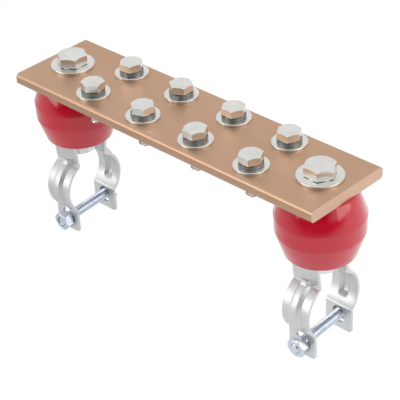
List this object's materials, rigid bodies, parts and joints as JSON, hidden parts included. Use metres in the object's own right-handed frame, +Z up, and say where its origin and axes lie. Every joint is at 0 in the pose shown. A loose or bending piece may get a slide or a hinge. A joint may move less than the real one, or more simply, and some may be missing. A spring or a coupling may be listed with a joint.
{
  "type": "rack grounding busbar",
  "caption": "Tapped copper grounding bar with hex lug bolts and washers, held on red standoff insulators above split sheet-steel hangers that clamp onto a conduit.",
  "frame": {"origin": "middle of the overall box seen from above, at the lower ends of the hangers' ears", "axes": "+X along the bar, +Y across it from the hangers' nuts to their bolt heads, +Z up through the insulators"},
  "size_m": [0.2152, 0.0508, 0.1025],
  "materials": {
    "copper": "rolled bar, pale brown, satin",
    "insulator_red": "moulded, glossy",
    "insert_brass": "turned",
    "stainless": "bright cold-formed",
    "spring_steel": "dull spring steel",
    "galvanized": "galvanized sheet",
    "zinc": "bright zinc plate"
  },
  "bodies": {
    "root": {"busbar": "copper", "insulator_left": "insulator_red", "insulator_right": "insulator_red", "insert_left_top": "insert_brass", "insert_left_bottom": "insert_brass", "insert_right_top": "insert_brass", "insert_right_bottom": "insert_brass", "post_bolt_left": "stainless", "post_washer_left": "stainless", "post_bolt_right": "stainless", "post_washer_right": "stainless", "lug_washer_1": "stainless", "lug_washer_2": "stainless", "lug_washer_3": "stainless", "lug_washer_4": "stainless", "lug_washer_5": "stainless", "lug_washer_6": "stainless", "lug_washer_7": "stainless", "lug_washer_8": "stainless", "lug_lock_1": "spring_steel", "lug_lock_2": "spring_steel", "lug_lock_3": "spring_steel", "lug_lock_4": "spring_steel", "lug_lock_5": "spring_steel", "lug_lock_6": "spring_steel", "lug_lock_7": "spring_steel", "lug_lock_8": "spring_steel", "lug_bolt_1": "stainless", "lug_bolt_2": "stainless", "lug_bolt_3": "stainless", "lug_bolt_4": "stainless", "lug_bolt_5": "stainless", "lug_bolt_6": "stainless", "lug_bolt_7": "stainless", "lug_bolt_8": "stainless", "hanger_left": "galvanized", "hanger_lock_left": "spring_steel", "hanger_bolt_left": "stainless", "hanger_right": "galvanized", "hanger_lock_right": "spring_steel", "hanger_bolt_right": "stainless", "cross_bolt_left": "zinc", "cross_nut_left": "zinc", "cross_bolt_right": "zinc", "cross_nut_right": "zinc"}
  },
  "joints": []
}
